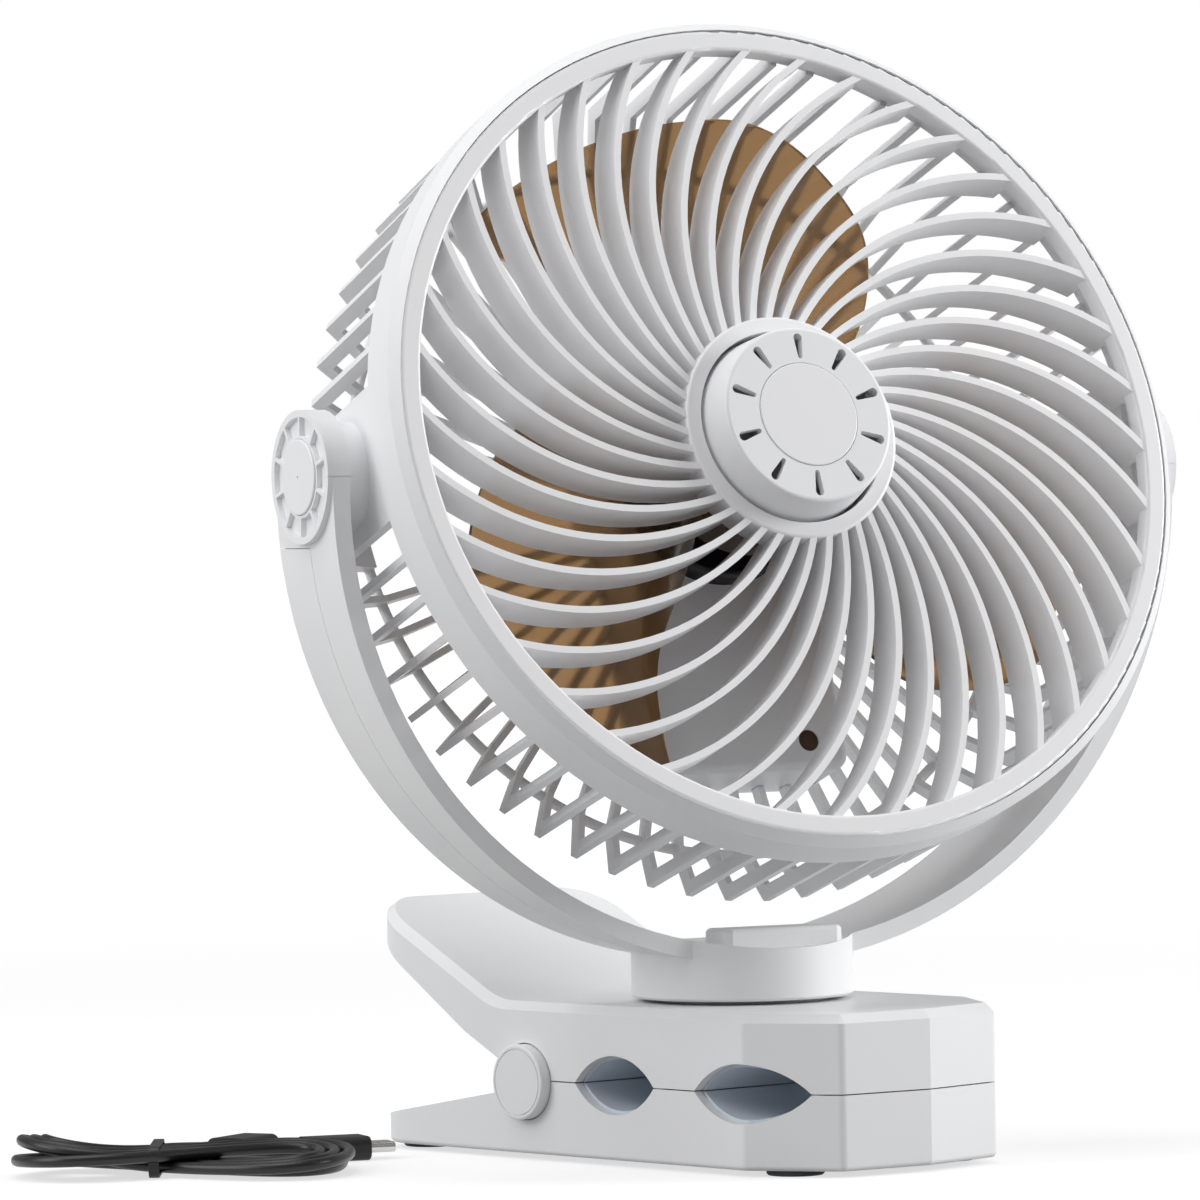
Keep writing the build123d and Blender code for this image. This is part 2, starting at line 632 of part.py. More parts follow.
with BuildPart() as yoke:
    with BuildSketch(Plane.XZ):
        with Locations((0, ARC_Z)):
            Circle(YOKE_ROUT)
        with Locations((0, PIVOT_Z)):
            Rectangle(3 * YOKE_ROUT, 2 * YOKE_ROUT, align=(Align.CENTER, Align.MIN), mode=Mode.SUBTRACT)
    extrude(amount=YOKE_HALF_W, both=True)
    with BuildSketch(Plane.XY.offset(TURRET_Z)):
        Circle(TURRET_R)
    extrude(amount=TURRET_R)
    with BuildSketch(Plane.XZ):
        with Locations((0, ARC_Z)):
            Circle(YOKE_RIN)
    extrude(amount=TURRET_R + OVER, both=True, mode=Mode.SUBTRACT)
    chamfer(yoke.faces().sort_by(Axis.Z)[0].edges(), EDGE_SMALL)
    with BuildSketch(Plane.XY.offset(TURRET_Z)):
        Circle(TURRET_R - TURRET_WALL)
        Circle(SPIGOT_R, mode=Mode.SUBTRACT)
        with PolarLocations((TURRET_R - TURRET_WALL + SPIGOT_R) / 2, TURRET_RIBS, TURRET_RIB_START):
            Rectangle(TURRET_R - SPIGOT_R, TURRET_RIB_T, mode=Mode.SUBTRACT)
    extrude(amount=TURRET_ROOM, mode=Mode.SUBTRACT)
    with BuildSketch(Plane.XY.offset(SPIGOT_END)):
        Circle(SPIGOT_R)
    extrude(amount=TURRET_Z + OVER - SPIGOT_END)
    with BuildSketch(Plane.XY.offset(SPIGOT_END)):
        Circle(SPIGOT_BORE_R)
    extrude(amount=TURRET_Z + TURRET_ROOM - SPIGOT_END, mode=Mode.SUBTRACT)
    with BuildSketch(Plane.XY.offset(SPIGOT_END)):
        with PolarLocations(SWIVEL_SCREW_RING, SWIVEL_SCREWS):
            Circle(SWIVEL_SCREW_R + SHAFT_FIT)
    extrude(amount=SWIVEL_SCREW_L + SEAT, mode=Mode.SUBTRACT)
    for side in SIDES:
        with BuildSketch(Plane.YZ.offset(side * KNOB_IN)):
            with Locations((0, PIVOT_Z)):
                Circle(KNOB_R)
        extrude(amount=side * (KNOB_OUT - KNOB_IN))
        with BuildSketch(Plane.YZ.offset(side * KNOB_OUT)):
            with Locations((0, PIVOT_Z)):
                Circle(RECESS_R)
                Circle(CAP_RING_R, mode=Mode.SUBTRACT)
                with PolarLocations((RECESS_R + CAP_RING_R) / 2, SPOKE_COUNT, 180 / SPOKE_COUNT):
                    Rectangle(RECESS_R - CAP_RING_R + OVER, SPOKE_T, mode=Mode.SUBTRACT)
        extrude(amount=-side * RECESS_DEEP, mode=Mode.SUBTRACT)
        with BuildSketch(Plane.YZ.offset(side * KNOB_OUT)):
            with Locations((0, PIVOT_Z)):
                Circle(PIVOT_CAP_R + SEAT)
        extrude(amount=-side * (PIVOT_CAP_T - PIVOT_CAP_RISE), mode=Mode.SUBTRACT)
        with BuildSketch(Plane.YZ.offset(side * (KNOB_IN + KNOB_WALL))):
            with Locations((0, PIVOT_Z)):
                Circle(PIVOT_HEAD_R + GAP)
        extrude(amount=side * KNOB_OUT, mode=Mode.SUBTRACT)
        with BuildSketch(Plane.YZ.offset(side * (KNOB_IN - OVER))):
            with Locations((0, PIVOT_Z)):
                Circle(PIVOT_SCREW_R + SHAFT_FIT)
        extrude(amount=side * KNOB_OUT, mode=Mode.SUBTRACT)
        for r_floor, front, rear in ((YOKE_ROUT - COVER_T, COVER_EDGE, YOKE_HALF_W + OVER),
                                     (YOKE_ROUT - COVER_T - CHANNEL_DEEP, YOKE_HALF_W / 2 - CHANNEL_HALF_W,
                                      YOKE_HALF_W / 2 + CHANNEL_HALF_W)):
            with BuildSketch(Plane.XZ.offset(-front)):
                with Locations((0, ARC_Z)):
                    Circle(YOKE_ROUT + OVER)
                    Circle(r_floor, mode=Mode.SUBTRACT)
                with Locations((side * (COVER_END_X + YOKE_ROUT), 0)):
                    Rectangle(2 * YOKE_ROUT, 2 * (PIVOT_Z - COVER_TOP_DROP), mode=Mode.INTERSECT)
            extrude(amount=front - rear, mode=Mode.SUBTRACT)
    with Locations((0, -KNOB_R, PIVOT_Z)):
        Box(2 * KNOB_OUT + OVER, 2 * LINE_W, LINE_DEEP, mode=Mode.SUBTRACT)
finish(yoke, "yoke", YOKE_PLACE)

for side, name in ((-1, "arm_cover_right"), (1, "arm_cover_left")):
    with BuildPart() as arm_cover:
        with BuildSketch(Plane.XZ.offset(-COVER_EDGE - SEAT)):
            with Locations((0, ARC_Z)):
                Circle(YOKE_ROUT)
                Circle(YOKE_ROUT - COVER_T + SHAFT_FIT, mode=Mode.SUBTRACT)
            with Locations((side * (COVER_END_X + SEAT + YOKE_ROUT), 0)):
                Rectangle(2 * YOKE_ROUT, 2 * (PIVOT_Z - COVER_TOP_DROP - SEAT), mode=Mode.INTERSECT)
        extrude(amount=COVER_EDGE + SEAT - YOKE_HALF_W)
    finish(arm_cover, name, YOKE_PLACE)

for side, name in ((-1, "pivot_cap_right"), (1, "pivot_cap_left")):
    with BuildPart() as pivot_cap:
        with BuildSketch(Plane.YZ.offset(side * (KNOB_OUT + PIVOT_CAP_RISE))):
            with Locations((0, PIVOT_Z)):
                Circle(PIVOT_CAP_R)
        extrude(amount=-side * (PIVOT_CAP_T - SHAFT_FIT))
        outer = pivot_cap.faces().sort_by(Axis.X)[-1 if side > 0 else 0]
        fillet(outer.edges(), EDGE_FINE)
        with BuildSketch(Plane.YZ.offset(side * (KNOB_OUT + PIVOT_CAP_RISE))):
            with Locations((0, PIVOT_Z)):
                Circle(GATE_R)
        extrude(amount=-side * GATE_R, mode=Mode.SUBTRACT)
    finish(pivot_cap, name, YOKE_PLACE)

with BuildPart() as swivel_cap:
    with BuildSketch(Plane.XY.offset(TURRET_Z)):
        with Locations((0, -(BUMPER_FRONT + BUMPER_REAR) / 2)):
            Rectangle(2 * BUMPER_HALF_L, BUMPER_FRONT - BUMPER_REAR)
    extrude(amount=BUMPER_TOP - TURRET_Z)
    with BuildSketch(Plane.XY.offset(TURRET_Z)):
        Circle(TURRET_R - EDGE_SMALL)
    extrude(amount=TURRET_R, mode=Mode.INTERSECT)
    fillet(swivel_cap.faces().sort_by(Axis.Z)[-1].edges(), EDGE_MEDIUM)
    with BuildSketch(Plane.XZ):
        with Locations((0, ARC_Z)):
            Circle(YOKE_RIN)
    extrude(amount=TURRET_R + OVER, both=True, mode=Mode.INTERSECT)
finish(swivel_cap, "swivel_cap", YOKE_PLACE)

with BuildPart() as swivel_retainer:
    with BuildSketch(Plane.XY.offset(SPIGOT_END)):
        Circle(RETAINER_R)
        Circle(SPIGOT_BORE_R, mode=Mode.SUBTRACT)
        with PolarLocations(SWIVEL_SCREW_RING, SWIVEL_SCREWS):
            Circle(SWIVEL_SCREW_R + SHAFT_FIT, mode=Mode.SUBTRACT)
    extrude(amount=-RETAINER_T)
finish(swivel_retainer, "swivel_retainer", YOKE_PLACE)

with BuildPart() as swivel_screws:
    with BuildSketch(Plane.XY.offset(SPIGOT_END - RETAINER_T)):
        with PolarLocations(SWIVEL_SCREW_RING, SWIVEL_SCREWS):
            Circle(2 * SWIVEL_SCREW_R)
    extrude(amount=-SCREW_HEAD_T)
    with BuildSketch(Plane.XY.offset(SPIGOT_END - RETAINER_T)):
        with PolarLocations(SWIVEL_SCREW_RING, SWIVEL_SCREWS):
            Circle(SWIVEL_SCREW_R)
    extrude(amount=RETAINER_T + SWIVEL_SCREW_L)
finish(swivel_screws, "swivel_screws", YOKE_PLACE)

# ================================================================ head
def polar(r, angle):
    """Point at radius r and an angle in degrees."""
    return (r * math.cos(math.radians(angle)), r * math.sin(math.radians(angle)))


with BuildSketch() as vane:
    with BuildLine():
        ThreePointArc(polar(RIM_IN_R + VANE_BITE, VANE_START),
                      polar((RIM_IN_R + HUB_R) / 2, VANE_START + VANE_MID),
                      polar(HUB_R - VANE_BITE, VANE_START + VANE_SWEEP))
    trace(line_width=VANE_T)

with BuildPart() as front_grille:
    with BuildSketch(Plane.XY.offset(FRONT)):
        Circle(RIM_R)
        Circle(RIM_IN_R, mode=Mode.SUBTRACT)
    extrude(amount=-RIM_T)
    fillet(front_grille.faces().sort_by(Axis.Z)[-1].edges(), RIM_EDGE_R)
    with BuildSketch(Plane.XY.offset(FRONT)):
        Circle(HUB_R)
        Circle(HUB_GROOVE_R, mode=Mode.SUBTRACT)
    extrude(amount=-HUB_DEEP)
    collar_face = front_grille.faces().group_by(Axis.Z)[-1].sort_by(SortBy.AREA)[0]
    fillet(collar_face.outer_wire().edges(), RIM_EDGE_R)
    with BuildSketch(Plane.XY.offset(FRONT - HUB_DEEP)):
        Circle(HUB_R)
    extrude(amount=HUB_FLOOR_T)
    with BuildSketch(Plane.XY.offset(FRONT - VANE_SINK)):
        with PolarLocations(0, VANE_COUNT):
            add(vane.sketch)
    extrude(amount=-VANE_DEEP)
finish(front_grille, "front_grille", HEAD_PLACE)

with BuildPart() as hub_cap:
    with BuildSketch(Plane.XY.offset(FRONT - HUB_DEEP + HUB_FLOOR_T)):
        Circle(HUB_CAP_BASE_R)
    with BuildSketch(Plane.XY.offset(FRONT + HUB_CAP_RISE)):
        Circle(HUB_CAP_TOP_R)
    loft()
    fillet(hub_cap.faces().sort_by(Axis.Z)[-1].edges(), HUB_CAP_EDGE_R)
    with BuildSketch(Plane.XY.offset(FRONT - HUB_DEEP + HUB_FLOOR_T)):
        Circle(HUB_CAP_TOP_R - HUB_CAP_WALL)
    extrude(amount=HUB_DEEP - HUB_FLOOR_T + HUB_CAP_RISE - HUB_CAP_WALL, mode=Mode.SUBTRACT)
    with BuildSketch(Plane.XY.offset(FRONT + HUB_CAP_RISE)):
        Circle(BADGE_R + SEAT)
    extrude(amount=-BADGE_T, mode=Mode.SUBTRACT)
    with BuildSketch(Plane.XY.offset(FRONT + HUB_CAP_RISE)):
        with PolarLocations(0, HUB_SLOTS, HUB_SLOT_START):
            with Locations((HUB_SLOT_IN_R, 0)):
                Circle(HUB_SLOT_NARROW)
            with Locations((HUB_SLOT_OUT_R, 0)):
                Circle(HUB_SLOT_WIDE)
            with Locations(((HUB_SLOT_IN_R + HUB_SLOT_OUT_R) / 2, 0)):
                Trapezoid(2 * HUB_SLOT_WIDE, HUB_SLOT_OUT_R - HUB_SLOT_IN_R,
                          math.degrees(math.atan2(HUB_SLOT_OUT_R - HUB_SLOT_IN_R,
                                                  HUB_SLOT_WIDE - HUB_SLOT_NARROW)), rotation=90)
    extrude(amount=-2 * HUB_CAP_WALL, mode=Mode.SUBTRACT)
finish(hub_cap, "hub_cap", HEAD_PLACE)

with BuildPart() as hub_badge:
    with BuildSketch(Plane.XY.offset(FRONT + HUB_CAP_RISE - BADGE_T)):
        Circle(BADGE_R)
    extrude(amount=BADGE_T + BADGE_PROUD)
    fillet(hub_badge.faces().sort_by(Axis.Z)[-1].edges(), BADGE_EDGE_R)
finish(hub_badge, "hub_badge", HEAD_PLACE)


def inward(path, depth):
    """The path moved inwards by depth, corners kept sharp."""
    moved = []
    for i, (r, d) in enumerate(path):
        before = Vector(*path[max(i - 1, 0)])
        after = Vector(*path[min(i + 1, len(path) - 1)])
        here = Vector(r, d)
        ways = [(b - a).normalized() for a, b in ((before, here), (here, after)) if (b - a).length > 0]
        normals = [Vector(way.Y, -way.X) for way in ways]
        mean = (normals[0] + normals[-1]).normalized()
        shift = mean * (depth / mean.dot(normals[0]))
        moved.append((here.X + shift.X, here.Y + shift.Y))
    return moved


def cage_section(last):
    """Section of the cage in the XZ plane, from the band to point number last of its path."""
    path = [(RIB_START_R, CASING_BACK + OVER), (RIB_CORNER_R, RIB_CORNER), (CAGE_RING_R, CAGE_RING),
            (MOTOR_R, CAGE_BACK)]
    inner = inward(path, RIB_DEEP)
    with BuildSketch(Plane.XZ) as section:
        with BuildLine():
            Polyline(*path[:last + 1], *inner[last::-1], close=True)
        make_face()
        fillet(section.vertices().filter_by(lambda v: RIB_CORNER - OVER < v.Z < RIB_CORNER + RIB_DEEP + OVER),
               RIB_BEND_R)
    return section.sketch


def housing_plan(z, grow=0.0):
    """Outline of the motor and control housing."""
    with BuildSketch(Plane.XY.offset(z)) as plan:
        Circle(BOX_TOP_R)
        with Locations((0, BOX_BOTTOM)):
            Rectangle(2 * BOX_HALF_W, -BOX_BOTTOM, align=(Align.CENTER, Align.MIN))
        fillet(plan.vertices().group_by(Axis.Y)[0], BOX_EDGE_R)
        if grow:
            offset(amount=grow, kind=Kind.INTERSECTION)
    return plan.sketch


PLATE_IN = CAGE_BACK + BACK_PLATE_T
rib_step = 360 / CAGE_RIBS
rib_angles = [270 + i * rib_step for i in range(CAGE_RIBS)]
rib_angles = [a for a in rib_angles if abs((a + 90) % 180 - 90) > SIDE_PANEL_ANGLE]

with BuildPart() as rib:
    extrude(cage_section(3), amount=RIB_W / 2, both=True)

with BuildPart() as side_panel:
    revolve(cage_section(2), axis=Axis.Z, revolution_arc=2 * SIDE_PANEL_ANGLE)

with BuildPart() as rear_shell:
    with BuildSketch(Plane.XZ):
        with BuildLine():
            ledge = FRONT - RIM_T - SEAT
            Polyline((RIM_R + SEAT, FRONT), (CASING_R, FRONT - CASING_BEVEL), (CASING_R, CASING_BACK),
                     (CASING_IN_R, CASING_BACK), (CASING_IN_R, ledge - CASING_LEDGE_T),
                     (CASING_LEDGE_R, ledge - CASING_LEDGE_T), (CASING_LEDGE_R, ledge),
                     (RIM_R + SEAT, ledge), close=True)
        make_face()
    revolve(axis=Axis.Z)
    add([Location((0, 0, 0), (0, 0, a - SIDE_PANEL_ANGLE)) * side_panel.part for a in (0, 180)])
    add([Location((0, 0, 0), (0, 0, a)) * rib.part for a in rib_angles])
    with Locations((0, 0, CAGE_RING + CAGE_RING_T / 2)):
        Torus(CAGE_RING_R, CAGE_RING_T / 2)
    extrude(housing_plan(PLATE_IN, SEAT), amount=2 * RIB_DEEP, mode=Mode.SUBTRACT)
    extrude(housing_plan(CAGE_BACK), amount=BACK_PLATE_T)
    with BuildSketch(Plane.XY.offset(PLATE_IN)):
        with Locations((BOX_SCREW_X, BOX_SCREW_Y)):
            Circle(POST_R)
    extrude(amount=BOX_FRONT - BOX_WALL - SEAT - PLATE_IN)
    for side in SIDES:
        with BuildSketch(Plane.YZ.offset(side * BOSS_ROOT)):
            Circle(BOSS_R)
        extrude(amount=side * (BOSS_FACE - BOSS_ROOT))
        with BuildSketch(Plane.YZ.offset(side * BOSS_ROOT)):
            Circle(PIVOT_SCREW_R + SHAFT_FIT)
        extrude(amount=side * BOSS_R, mode=Mode.SUBTRACT)
    with BuildSketch(Plane.XY.offset(CAGE_BACK)):
        with Locations((0, BUTTON_Y)):
            Circle(BUTTON_R + GAP)
        with Locations((0, LED_Y)):
            Circle(LED_R + SEAT)
        with Locations((0, USB_Y)):
            SlotOverall(USB_W + 2 * SEAT, USB_H + 2 * SEAT)
    extrude(amount=BACK_PLATE_T, mode=Mode.SUBTRACT)
    with BuildSketch(Plane.XY.offset(BOX_FRONT)):
        with Locations((BOX_SCREW_X, BOX_SCREW_Y)):
            Circle(SCREW_R + SHAFT_FIT)
    extrude(amount=-BOX_SCREW_L - 2 * SCREW_R, mode=Mode.SUBTRACT)
finish(rear_shell, "rear_shell", HEAD_PLACE)

with BuildPart() as motor_housing:
    extrude(housing_plan(PLATE_IN), amount=BOX_FRONT - PLATE_IN)
    fillet(motor_housing.faces().sort_by(Axis.Z)[-1].edges(), EDGE_WIDE)
    extrude(housing_plan(PLATE_IN, -BOX_WALL), amount=BOX_FRONT - BOX_WALL - PLATE_IN, mode=Mode.SUBTRACT)
    with BuildSketch(Plane.XY.offset(BOX_FRONT)):
        Circle(MOTOR_R + SEAT)
    extrude(amount=-2 * BOX_WALL, mode=Mode.SUBTRACT)
    with Locations((BOX_SCREW_X, BOX_SCREW_Y, BOX_FRONT)):
        CounterBoreHole(SCREW_R + SEAT, SCREW_HEAD_R + SEAT, SCREW_HEAD_T + SEAT, 2 * BOX_WALL)
finish(motor_housing, "motor_housing", HEAD_PLACE)

with BuildPart() as housing_screw:
    with BuildSketch(Plane.XY.offset(BOX_FRONT - SEAT)):
        with Locations((BOX_SCREW_X, BOX_SCREW_Y)):
            Circle(SCREW_HEAD_R)
    extrude(amount=-SCREW_HEAD_T)
    with BuildSketch(Plane.XY.offset(BOX_FRONT - SEAT)):
        with Locations((BOX_SCREW_X, BOX_SCREW_Y)):
            Circle(SCREW_R)
    extrude(amount=-BOX_SCREW_L)
finish(housing_screw, "housing_screw", HEAD_PLACE)

for side, name in ((-1, "pivot_screw_right"), (1, "pivot_screw_left")):
    with BuildPart() as pivot_screw:
        with BuildSketch(Plane.YZ.offset(side * (BOSS_ROOT + PIVOT_SCREW_IN))):
            Circle(PIVOT_SCREW_R)
        extrude(amount=side * (KNOB_IN + KNOB_WALL + SEAT + PIVOT_HEAD_T - BOSS_ROOT - PIVOT_SCREW_IN))
        with BuildSketch(Plane.YZ.offset(side * (KNOB_IN + KNOB_WALL + SEAT))):
            Circle(PIVOT_HEAD_R)
        extrude(amount=side * PIVOT_HEAD_T)
    finish(pivot_screw, name, HEAD_PLACE)

with BuildPart() as motor_can:
    with BuildSketch(Plane.XY.offset(MOTOR_BACK)):
        Circle(MOTOR_R)
    extrude(amount=MOTOR_FRONT - MOTOR_BACK)
    fillet(motor_can.faces().sort_by(Axis.Z)[-1].edges(), EDGE_WIDE)
    with BuildSketch(Plane.XY.offset(MOTOR_BACK)):
        Circle(MOTOR_R - MOTOR_WALL)
    extrude(amount=MOTOR_FRONT - MOTOR_BACK - MOTOR_WALL, mode=Mode.SUBTRACT)
    with BuildSketch(Plane.XY.offset(MOTOR_FRONT)):
        Circle(SHAFT_R + SHAFT_FIT)
    extrude(amount=-2 * MOTOR_WALL, mode=Mode.SUBTRACT)
finish(motor_can, "motor_can", HEAD_PLACE)

with BuildPart() as motor_stator:
    with BuildSketch(Plane.XY.offset(MOTOR_BACK)):
        Circle(MOTOR_R - MOTOR_WALL - 2)
        Circle(SHAFT_R + SHAFT_FIT, mode=Mode.SUBTRACT)
    extrude(amount=MOTOR_FRONT - MOTOR_BACK - MOTOR_WALL - 2)
    with BuildSketch(Plane.XY.offset(PLATE_IN)):
        Circle(MOTOR_R)
    extrude(amount=MOTOR_BACK - PLATE_IN)
finish(motor_stator, "motor_stator", HEAD_PLACE)

with BuildPart() as control_board:
    with BuildSketch(Plane.XY.offset(BOARD_FRONT)):
        with Locations((0, BUTTON_Y)):
            Rectangle(BOARD_W, BOARD_H)
    extrude(amount=-BOARD_T)
    with BuildSketch(Plane.XY.offset(BOARD_FRONT)):
        with Locations((COIL_X, LED_Y - COIL_DROP)):
            Rectangle(COIL_SIDE, COIL_SIDE)
        with Locations((CHIP_X, LED_Y - CHIP_DROP)):
            Rectangle(CHIP_W, CHIP_H)
    extrude(amount=CHIP_T)
finish(control_board, "control_board", HEAD_PLACE)

BOARD_BACK = BOARD_FRONT - BOARD_T
with BuildPart() as usb_socket:
    with BuildSketch(Plane.XY.offset(BOARD_BACK)):
        with Locations((0, USB_Y)):
            SlotOverall(USB_W, USB_H)
    extrude(amount=CAGE_BACK + SEAT - BOARD_BACK)
    with BuildSketch(Plane.XY.offset(CAGE_BACK + SEAT)):
        with Locations((0, USB_Y)):
            SlotOverall(USB_W - 2 * USB_WALL, USB_H - 2 * USB_WALL)
            Rectangle(USB_TONGUE_W, USB_TONGUE_T, mode=Mode.SUBTRACT)
    extrude(amount=BOARD_BACK - CAGE_BACK - 2 * SEAT - USB_TONGUE_T, mode=Mode.SUBTRACT)
finish(usb_socket, "usb_socket", HEAD_PLACE)

with BuildPart() as led_lens:
    with BuildSketch(Plane.XY.offset(CAGE_BACK)):
        with Locations((0, LED_Y)):
            Circle(LED_R)
    extrude(amount=BACK_PLATE_T + OVER)
finish(led_lens, "led_lens", HEAD_PLACE)

with BuildPart() as power_button:
    with BuildSketch(Plane.XY.offset(CAGE_BACK - BUTTON_RISE)):
        with Locations((0, BUTTON_Y)):
            Circle(BUTTON_R)
    extrude(amount=BUTTON_RISE + BACK_PLATE_T + GAP)
    fillet(power_button.faces().sort_by(Axis.Z)[0].edges(), EDGE_FINE)
    with BuildSketch(Plane.XY.offset(PLATE_IN + GAP)):
        with Locations((0, BUTTON_Y)):
            Circle(BUTTON_FLANGE_R)
    extrude(amount=BUTTON_FLANGE_T)
finish(power_button, "power_button", HEAD_PLACE)

# ================================================================ rotor
def on_blade(share, angle):
    """Point of a blade's outline at a share of its span from the hub and a polar angle."""
    return polar(ROTOR_HUB_R + share * (ROTOR_R - ROTOR_HUB_R), angle)


with BuildSketch() as blade_plan:
    with BuildLine():
        front_edge = Spline(polar(ROTOR_HUB_R - ROTOR_WALL, BLADE_LEAD), on_blade(0.34, BLADE_LEAD + 4),
                            on_blade(0.54, BLADE_LEAD + 10), on_blade(0.67, BLADE_LEAD + 15),
                            on_blade(0.83, BLADE_LEAD + 25.5), on_blade(0.94, BLADE_LEAD + 34),
                            polar(ROTOR_R, BLADE_TIP_START))
        tip = CenterArc((0, 0), ROTOR_R, BLADE_TIP_START, BLADE_TIP_END - BLADE_TIP_START)
        rear_edge = Spline(tip @ 1, on_blade(0.80, BLADE_TIP_END - 4), on_blade(0.58, BLADE_TIP_END - 11.5),
                           on_blade(0.42, BLADE_TIP_END - 15), on_blade(0.24, BLADE_TIP_END - 16),
                           polar(ROTOR_HUB_R - ROTOR_WALL, BLADE_TIP_END - 28))
        Line(rear_edge @ 1, front_edge @ 0)
    make_face()
    fillet(blade_plan.vertices().sort_by_distance(tip @ 1)[0], BLADE_CORNER_R)

with BuildPart() as blade:
    sheet_start = BLADE_LEAD - BLADE_MARGIN
    sheet_step = (BLADE_TIP_END + BLADE_MARGIN - sheet_start) / (BLADE_SECTIONS - 1)
    for i in range(BLADE_SECTIONS):
        angle = sheet_start + i * sheet_step
        outward = Vector(*polar(1, angle))
        height = BLADE_FRONT - BLADE_DROP * ((angle - BLADE_LEAD) / BLADE_WRAP) ** 2
        with BuildSketch(Plane((0, 0, 0), x_dir=outward, z_dir=outward.cross(Vector(0, 0, 1)))):
            with Locations(((ROTOR_R + ROTOR_HUB_R) / 2, height)):
                Rectangle(ROTOR_R - ROTOR_HUB_R + 4 * ROTOR_WALL, BLADE_T)
    loft()
    extrude(blade_plan.sketch, amount=FRONT, both=True, mode=Mode.INTERSECT)

with BuildPart() as impeller:
    with BuildSketch(Plane.XY.offset(ROTOR_BACK)):
        Circle(ROTOR_HUB_R)
    extrude(amount=ROTOR_FRONT - ROTOR_BACK)
    fillet(impeller.faces().sort_by(Axis.Z)[-1].edges(), EDGE_WIDE)
    with PolarLocations(0, BLADE_COUNT):
        add(blade.part)
    with BuildSketch(Plane.XY.offset(ROTOR_BACK)):
        Circle(ROTOR_HUB_R - ROTOR_WALL)
        Circle(NUT_R + ROTOR_WALL, mode=Mode.SUBTRACT)
    extrude(amount=ROTOR_FRONT - ROTOR_WALL - ROTOR_BACK, mode=Mode.SUBTRACT)
    with Locations((0, 0, ROTOR_FRONT)):
        CounterBoreHole(SHAFT_R + SHAFT_FIT, NUT_R + SEAT, NUT_T + SEAT)
finish(impeller, "impeller", HEAD_PLACE)

with BuildPart() as rotor_shaft:
    with BuildSketch(Plane.XY.offset(MOTOR_BACK + SHAFT_IN)):
        Circle(SHAFT_R)
    extrude(amount=ROTOR_FRONT - GAP - MOTOR_BACK - SHAFT_IN)
finish(rotor_shaft, "rotor_shaft", HEAD_PLACE)

with BuildPart() as rotor_nut:
    with BuildSketch(Plane.XY.offset(ROTOR_FRONT - NUT_T)):
        RegularPolygon(NUT_R, NUT_SIDES)
        Circle(SHAFT_R + SHAFT_FIT, mode=Mode.SUBTRACT)
    extrude(amount=NUT_T)
finish(rotor_nut, "rotor_nut", HEAD_PLACE)

# ============================================================= charging cable (own frame: X along the hank)
CABLE_PLACE = Location((CABLE_X, CABLE_Y, 0), (0, 0, CABLE_TURN))

with BuildPart() as cable_tie:
    with BuildSketch(Plane.YZ.offset(TIE_X - TIE_W / 2)):
        with Locations((0, HANK_H / 2 + TIE_T / 2)):
            RectangleRounded(2 * HANK_WAIST + TIE_T, HANK_H + TIE_T, TIE_R)
            RectangleRounded(2 * HANK_WAIST - TIE_T, HANK_H - TIE_T, TIE_R - TIE_T, mode=Mode.SUBTRACT)
    extrude(amount=TIE_W)
finish(cable_tie, "cable_tie", CABLE_PLACE)

with BuildPart() as cable_hank:
    with BuildSketch():
        with BuildLine():
            loop_x = HANK_LOBE * HANK_HALF_L
            Spline((0, -HANK_WAIST), (loop_x, -HANK_HALF_W), (HANK_HALF_L, 0), (loop_x, HANK_HALF_W),
                   (0, HANK_WAIST), (-loop_x, HANK_HALF_W), (-HANK_HALF_L, 0), (-loop_x, -HANK_HALF_W),
                   periodic=True)
        make_face()
    extrude(amount=HANK_H)
    fillet(cable_hank.faces().filter_by(Axis.Z).edges(), EDGE_MEDIUM)
    with BuildSketch(Plane.YZ.offset(TIE_X - TIE_W / 2)):
        with Locations((0, HANK_H / 2 + TIE_T / 2)):
            Rectangle(4 * HANK_WAIST, 4 * HANK_H)
            RectangleRounded(2 * HANK_WAIST - TIE_T, HANK_H - TIE_T, TIE_R - TIE_T, mode=Mode.SUBTRACT)
    extrude(amount=TIE_W, mode=Mode.SUBTRACT)
finish(cable_hank, "cable_hank", CABLE_PLACE)

